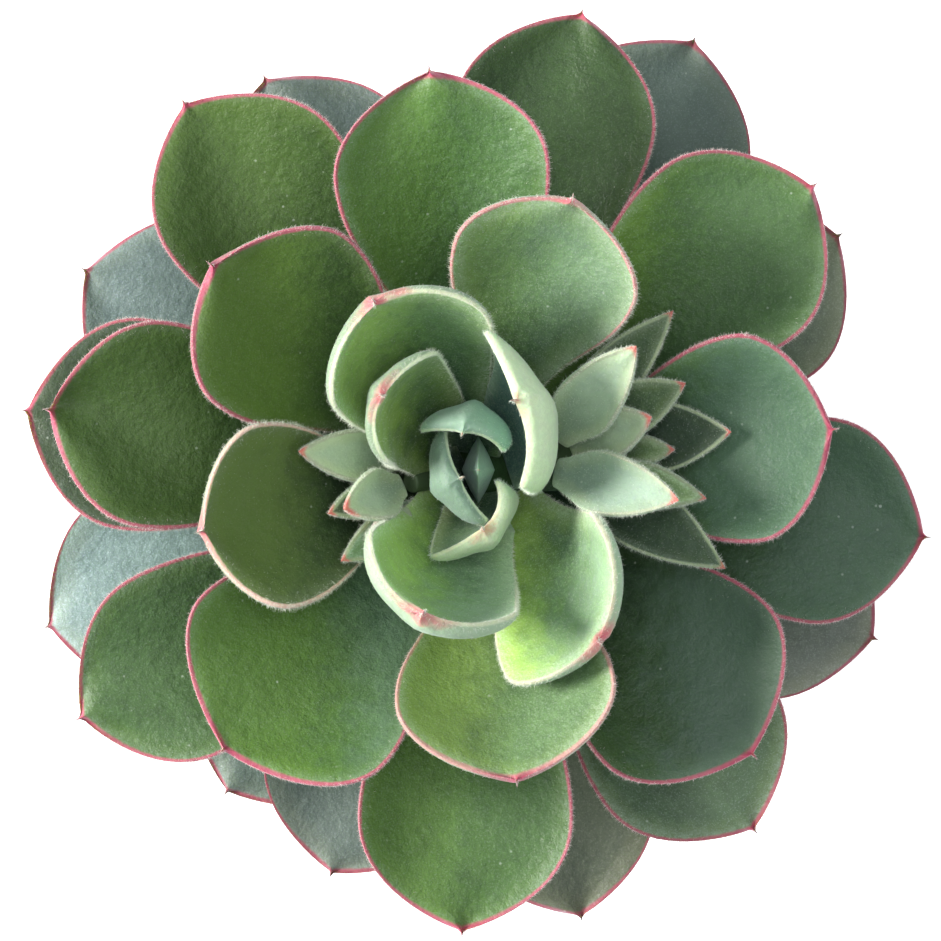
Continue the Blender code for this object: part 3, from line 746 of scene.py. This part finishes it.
def buildBud():
    bm = bmesh.new()
    bmesh.ops.create_uvsphere(bm, u_segments=budForm["sides"], v_segments=budForm["rings"], radius=1)
    foot = stemTop() + gap / mm
    marks = []
    for vert in bm.verts:
        part = (1 + vert.co.z) / 2
        narrow = (1 - part) ** budForm["point"]
        around = math.atan2(vert.co.y, vert.co.x)
        facet = 1 - budForm["ridge"] + budForm["ridge"] / (abs(math.cos(around)) + abs(math.sin(around)))
        belt = math.hypot(vert.co.x, vert.co.y) * facet
        vert.co = Vector((math.cos(around) * belt * budForm["thickness"] / 2 * narrow,
                          math.sin(around) * belt * budForm["width"] / 2 * narrow,
                          foot + part * budForm["length"])) * mm
        marks.append(((1 - abs(math.cos(around))) * 1.5 + 0.3, -1.0, part, (1 - part) * budForm["length"],
                      math.sin(around), vert.co.x / mm))
    mesh = bpy.data.meshes.new("heartBud")
    bm.to_mesh(mesh)
    bm.free()
    for index, mark in enumerate(("edge", "upper", "along", "tipAway", "across", "east")):
        layer = mesh.attributes.new(mark, "FLOAT", "POINT")
        layer.data.foreach_set("value", np.array([m[index] for m in marks], np.float32))
    material = leafMaterial("budSkin", finishes["heart"], 0.9, -0.4)
    addPiece("heart_bud_skin", mesh, material, ["heart_bud"])


hairFinishes = {
    "old": ((0.55, 0.50, 0.47), "old_leaf"), "green": ((0.80, 0.70, 0.66), "leaf_green"),
    "young": ((0.86, 0.87, 0.76), "young_leaf"), "heart": ((0.80, 0.86, 0.76), "young_leaf"),
    "shoot": ((0.84, 0.86, 0.76), "shoot_leaf"),
}


def buildHairs():
    for bed, meshes in hairBeds.items():
        colour, slot = hairFinishes[bed]
        bm = bmesh.new()
        for mesh in meshes:
            bm.from_mesh(mesh)
            bpy.data.meshes.remove(mesh)
        joined = bpy.data.meshes.new(bed + "Hairs")
        bm.to_mesh(joined)
        bm.free()
        g = Graph(bed + "Hair")
        material = g.finish(Base_Color=colour, Roughness=0.6, Specular_IOR_Level=0.3)
        addPiece(bed + "_leaf_hairs", joined, material, [], smooth=False)


pot = {
    "height": 80.0, "rimRadius": 45.0, "footRadius": 29.0, "wall": 4.5, "floor": 6.0, "bandHeight": 17.0,
    "bandStep": 2.2, "bandTaper": 1.0, "drainRadius": 5.5, "round": 1.2, "roundSteps": 4, "steps": 128,
    "clay": (0.36, 0.125, 0.058), "dust": (0.52, 0.33, 0.23), "damp": (0.20, 0.070, 0.036),
    "clouds": 38, "grit": 1500, "pits": 520, "turningMarks": 60, "markStretch": 14.0,  # patterns per metre
}


def potSlope():
    underBand = pot["rimRadius"] - pot["bandStep"] - pot["bandTaper"]
    return (underBand - pot["footRadius"]) / (pot["height"] - pot["bandHeight"])


def innerWall(height):
    return pot["footRadius"] + potSlope() * height - pot["wall"]


# Spins a closed or axis-to-axis profile of (radius, height) in mm about Z.
def turnedMesh(profile, steps):
    bm = bmesh.new()
    verts = [bm.verts.new((r * mm, 0, z * mm)) for r, z in profile]
    closed = profile[0][0] > 0
    pairs = list(zip(verts, verts[1:])) + ([(verts[-1], verts[0])] if closed else [])
    edges = [bm.edges.new(pair) for pair in pairs]
    bmesh.ops.spin(bm, geom=verts + edges, cent=(0, 0, 0), axis=(0, 0, 1), angle=2 * math.pi, steps=steps,
                   use_merge=True)
    bmesh.ops.remove_doubles(bm, verts=bm.verts, dist=1e-6)
    bmesh.ops.recalc_face_normals(bm, faces=bm.faces)
    return bm


# Replaces each corner of a closed profile by a short arc.
def roundCorners(profile, size, steps):
    out = []
    count = len(profile)
    for i, corner in enumerate(profile):
        here = np.array(corner, float)
        before, after = np.array(profile[i - 1], float), np.array(profile[(i + 1) % count], float)
        back, on = before - here, after - here
        lengthBack, lengthOn = np.linalg.norm(back), np.linalg.norm(on)
        cut = min(size, lengthBack * 0.45, lengthOn * 0.45)
        first, last = here + back / lengthBack * cut, here + on / lengthOn * cut
        for k in range(steps + 1):
            t = k / steps
            out.append(tuple((1 - t) ** 2 * first + 2 * t * (1 - t) * here + t * t * last))
    return out


def buildPot():
    slope, rim, foot = potSlope(), pot["rimRadius"], pot["footRadius"]
    bandFoot = pot["height"] - pot["bandHeight"]
    underBand = rim - pot["bandStep"] - pot["bandTaper"]
    profile = [
        (rim, pot["height"]), (rim - pot["bandTaper"], bandFoot), (underBand, bandFoot), (foot, 0),
        (pot["drainRadius"], 0), (pot["drainRadius"], pot["floor"]), (innerWall(pot["floor"]), pot["floor"]),
        (innerWall(pot["height"]), pot["height"]),
    ]
    bm = turnedMesh(roundCorners(profile, pot["round"], pot["roundSteps"]), pot["steps"])
    mesh = bpy.data.meshes.new("terracottaPot")
    bm.to_mesh(mesh)
    bm.free()
    g = Graph("terracottaClay")
    place = g.place()
    height = g.add("ShaderNodeSeparateXYZ", {}, {0: place}, 2)
    cloud = g.noise(pot["clouds"], 4, 0.6)
    grit = g.noise(pot["grit"], 3, 0.7)
    pits = g.ease(g.cells(pot["pits"]), 0.22, 0.05) * g.ease(g.cells(pot["pits"], out=1), 0.55, 0.8)
    stretched = g.add("ShaderNodeMapping", {}, {"Vector": place, "Scale": (1.0, 1.0, pot["markStretch"])})
    rings = g.noise(pot["turningMarks"], 2, 0.5, stretched)
    clay = g.mix(g.ease(cloud, 0.3, 0.75), pot["clay"], tuple(c * 1.22 for c in pot["clay"]))
    clay = g.mix(g.ease(rings, 0.45, 0.8) * 0.3, clay, pot["damp"])
    bloomEdge = height + (cloud - 0.5) * 0.03
    chalk = g.ease(bloomEdge, 0.030, 0.004) * 0.55 + g.ease(bloomEdge, 0.066, 0.081) * 0.3
    clay = g.mix(chalk * g.ease(grit, 0.3, 0.7), clay, pot["dust"])
    clay = g.mix(pits * 0.6, clay, pot["damp"])
    relief = g.bump(grit, 0.0002, 0.7)
    relief = g.bump(1 - pits, 0.0004, 0.7, relief)
    relief = g.bump(rings, 0.0003, 0.5, relief)
    material = g.finish(Base_Color=clay, Roughness=0.78 + grit * 0.18, Normal=relief, Specular_IOR_Level=0.25)
    addPiece("terracotta_pot", mesh, material, ["pot"])


soil = {
    "crown": 2.0, "gap": 10.0, "buried": 26.0, "steps": 96, "rings": 16, "lumps": 0.55,
    "dark": (0.028, 0.018, 0.012), "light": (0.095, 0.066, 0.042), "grit": 420, "gritSize": (0.45, 1.15),
    "gritMargin": 1.5, "crumbs": 420, "clods": 140, "fibres": 300,
    "stoneLight": (0.36, 0.31, 0.25), "stoneDark": (0.10, 0.075, 0.055), "stones": 160,
}


def soilHeight(radius, turn):
    top = pot["height"] - soil["gap"]
    share = radius / innerWall(top)
    crown = soil["crown"] * (1 - share ** 2)
    lumps = math.sin(radius * 0.9 + 3 * turn) * math.sin(5 * turn - radius * 0.5) + 0.6 * math.sin(
        11 * turn + radius * 1.7)
    return top + crown - 0.4 + soil["lumps"] * 0.5 * lumps * (1 - share ** 6)


def buildSoil():
    top = pot["height"] - soil["gap"]
    socket, socketFloor = rosette["stemRadius"] + gap / mm, top - soil["buried"]
    floor = pot["floor"] + gap / mm
    outer = innerWall(top) - gap / mm
    profile = [(0, socketFloor), (socket, socketFloor), (socket, top + 1)]
    profile += [(socket + (outer - socket) * k / soil["rings"], top + 1) for k in range(1, soil["rings"] + 1)]
    profile += [(innerWall(floor) - gap / mm, floor), (0, floor)]
    bm = turnedMesh(profile, soil["steps"])
    for vert in bm.verts:
        if abs(vert.co.z - (top + 1) * mm) < 1e-6:
            radius = math.hypot(vert.co.x, vert.co.y) / mm
            vert.co.z = soilHeight(radius, math.atan2(vert.co.y, vert.co.x)) * mm
    mesh = bpy.data.meshes.new("pottingSoil")
    bm.to_mesh(mesh)
    bm.free()
    g = Graph("pottingMix")
    crumb = g.noise(soil["crumbs"], 4, 0.7)
    lump = g.noise(soil["clods"], 3, 0.6)
    fibre = g.cells(soil["fibres"])
    earth = g.mix(g.ease(crumb, 0.35, 0.7), soil["dark"], soil["light"])
    earth = g.mix(g.ease(lump, 0.5, 0.75) * 0.5, earth, soil["dark"])
    relief = g.bump(crumb, 0.0012, 1.0)
    relief = g.bump(fibre, 0.0008, 0.6, relief)
    material = g.finish(Base_Color=earth, Roughness=0.95, Normal=relief, Specular_IOR_Level=0.2)
    addPiece("potting_soil", mesh, material, ["soil"])
    rng = random.Random(7)
    stones = bmesh.new()
    for _ in range(soil["grit"]):
        radius = rng.uniform(socket + soil["gritMargin"], outer - soil["gritMargin"])
        turn = rng.uniform(0, 2 * math.pi)
        size = rng.uniform(*soil["gritSize"])
        height = soilHeight(radius, turn) + size * 0.25
        place = Vector((radius * math.cos(turn), radius * math.sin(turn), height)) * mm
        spin = Matrix.Rotation(rng.uniform(0, 6), 4, (rng.random(), rng.random(), 1))
        flat = Matrix.Diagonal((rng.uniform(0.7, 1.2), rng.uniform(0.7, 1.2), rng.uniform(0.5, 0.9), 1))
        shape = Matrix.Translation(place) @ spin @ flat
        bmesh.ops.create_icosphere(stones, subdivisions=1, radius=size * mm, matrix=shape)
    mesh = bpy.data.meshes.new("soilGrit")
    stones.to_mesh(mesh)
    stones.free()
    g = Graph("gritStone")
    tone = g.cells(soil["stones"], out=1)
    stone = g.mix(g.ease(tone, 0.2, 0.9), soil["stoneLight"], soil["stoneDark"])
    material = g.finish(Base_Color=stone, Roughness=0.85)
    addPiece("soil_grit", mesh, material, [], smooth=False)


stem = {
    "steps": 72, "rings": 70, "topRings": 40, "scarDepth": 0.55, "scars": 170, "cracks": 900,
    "bark": (0.17, 0.115, 0.065), "scar": (0.36, 0.29, 0.19), "green": (0.05, 0.10, 0.04),
}


def buildStem():
    bottom = pot["height"] - soil["gap"] - soil["buried"] + gap / mm
    heights = np.concatenate([np.linspace(stemTop(), rosette["firstLeaf"], stem["topRings"]),
                              np.linspace(rosette["firstLeaf"], bottom + 1, stem["rings"])[1:]])
    profile = [(float(stemRadius(h)), float(h)) for h in heights]
    profile[0] = (0, profile[0][1])
    profile += [(rosette["stemRadius"] - 1, bottom), (0, bottom)]
    bm = turnedMesh(profile, stem["steps"])
    for vert in bm.verts:
        height = vert.co.z / mm
        if bottom + 1 < height < rosette["firstLeaf"] + 4:
            turn = math.atan2(vert.co.y, vert.co.x)
            ridge = math.sin(height * 2.2 + math.sin(turn * 3) * 1.3)
            ridge += 0.5 * math.sin(turn * 8 + height * 0.8)
            shrink = 1 - 0.03 * (1.5 + ridge) * stem["scarDepth"]
            vert.co.x *= shrink
            vert.co.y *= shrink
    mesh = bpy.data.meshes.new("corkyStem")
    bm.to_mesh(mesh)
    bm.free()
    g = Graph("corkyBark")
    place = g.place()
    height = g.add("ShaderNodeSeparateXYZ", {}, {0: place}, 2)
    squat = g.add("ShaderNodeMapping", {}, {"Vector": place, "Scale": (1.0, 1.0, 3.0)})
    scars = g.noise(stem["scars"], 3, 0.6, squat)
    crack = g.noise(stem["cracks"], 3, 0.7, squat)
    bark = g.mix(g.ease(scars, 0.4, 0.65), stem["bark"], stem["scar"])
    bark = g.mix(g.ease(crack, 0.5, 0.75) * 0.6, bark, tuple(c * 0.45 for c in stem["bark"]))
    bark = g.mix(g.ease(height, 0.088, 0.1), bark, stem["green"])
    relief = g.bump(scars, 0.0006, 0.8)
    relief = g.bump(crack, 0.0003, 0.8, relief)
    material = g.finish(Base_Color=bark, Roughness=0.85, Normal=relief, Specular_IOR_Level=0.2)
    addPiece("corky_stem", mesh, material, ["main_stem"])


studio = {
    "cameraPlace": (-0.00107, -0.00007, 0.585), "focal": 129.3, "sensor": 36,
    "floorSize": 6.0, "floorDrop": 0.0002, "floor": (0.90, 0.90, 0.90), "floorGlow": 0.75,
    "sky": (0.80, 0.90, 1.0), "skyStrength": 0.4,
    "lamps": {  # place, aim, size, power, colour
        "leftWindow": ((-1.05, 0.10, 0.62), (0, 0, 0.11), 0.45, 26.0, (1.0, 0.99, 0.96)),
        "overhead": ((0.10, 0.10, 1.25), (0, 0, 0.11), 0.9, 5.0, (0.97, 0.99, 1.0)),
        "rightFill": ((0.9, -0.5, 0.6), (0, 0, 0.08), 0.9, 1.5, (0.9, 0.96, 1.0)),
    },
}


def buildStudio():
    bm = bmesh.new()
    below = Matrix.Translation((0, 0, -studio["floorDrop"]))
    bmesh.ops.create_grid(bm, x_segments=1, y_segments=1, size=studio["floorSize"] / 2, matrix=below)
    mesh = bpy.data.meshes.new("studioFloor")
    bm.to_mesh(mesh)
    bm.free()
    floor = bpy.data.objects.new("studio_floor", mesh)
    bpy.context.scene.collection.objects.link(floor)
    g = Graph("paleFloor")
    mesh.materials.append(g.finish(Base_Color=studio["floor"], Roughness=0.9, Emission_Color=studio["floor"],
                                   Emission_Strength=studio["floorGlow"]))
    world = bpy.data.worlds.new("softSky")
    bpy.context.scene.world = world
    world.use_nodes = True
    back = world.node_tree.nodes["Background"]
    back.inputs["Color"].default_value = (*studio["sky"], 1)
    back.inputs["Strength"].default_value = studio["skyStrength"]
    for name, (place, aim, size, power, colour) in studio["lamps"].items():
        data = bpy.data.lights.new(name, "AREA")
        data.shape = "DISK"
        data.size = size
        data.energy = power
        data.color = colour
        lamp = bpy.data.objects.new(name, data)
        lamp.location = place
        lamp.rotation_euler = (Vector(aim) - Vector(place)).to_track_quat("-Z", "Y").to_euler()
        bpy.context.scene.collection.objects.link(lamp)
    camera = bpy.data.objects.new("cameraAbove", bpy.data.cameras.new("cameraAbove"))
    camera.location = studio["cameraPlace"]
    camera.data.lens = studio["focal"]
    camera.data.sensor_width = studio["sensor"]
    camera.data.clip_start = 0.01
    bpy.context.scene.collection.objects.link(camera)
    bpy.context.scene.camera = camera
    bpy.context.scene.view_settings.view_transform = "Standard"


buildRosette()
print("rosette leaves done")
buildShoots()
buildBud()
print("side shoots and bud done")
buildHairs()
print("hairs done")
buildPot()
buildSoil()
buildStem()
print("pot, soil and stem done")
buildStudio()
print("studio done")
